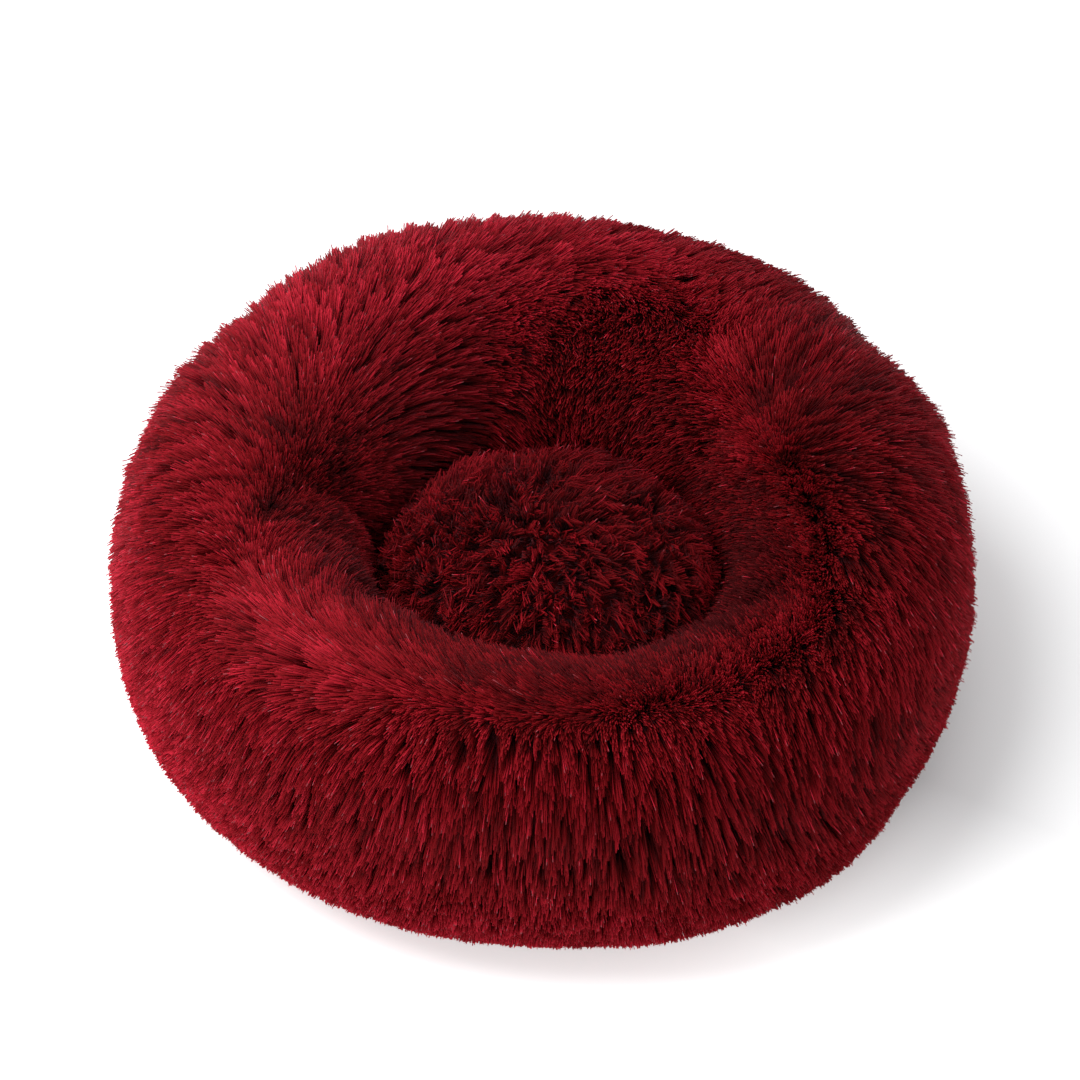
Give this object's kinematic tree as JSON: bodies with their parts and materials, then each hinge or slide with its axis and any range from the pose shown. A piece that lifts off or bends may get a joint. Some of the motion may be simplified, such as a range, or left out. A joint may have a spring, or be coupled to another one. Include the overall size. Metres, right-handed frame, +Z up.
{
  "type": "donut pet bed",
  "caption": "Round pet bed: a fat stuffed rim of long-pile plush round a raised plush cushion, on a cloth base with grip dots.",
  "frame": {"origin": "on the floor, under the middle of the bed's outline", "axes": "+Z up out of the nest; the bed is pictured from the -Y side, with +X to the right"},
  "size_m": [0.6, 0.6, 0.2159],
  "materials": {
    "plush": "wine-red long-pile plush, soft sheen on the tips, dark roots",
    "fibre_filling": "white polyester fibre filling",
    "lining": "grey non-woven lining",
    "base_cloth": "black coated plain-weave base cloth with rubber grip dots",
    "binding_tape": "black woven binding tape"
  },
  "bodies": {
    "root": {"rim_outer_panel": "plush", "rim_inner_panel": "plush", "cushion_cover": "plush", "rim_filling": "fibre_filling", "cushion_filling": "fibre_filling", "rim_lining": "lining", "cushion_underside": "lining", "base_panel": "base_cloth", "base_binding": "binding_tape"}
  },
  "joints": []
}
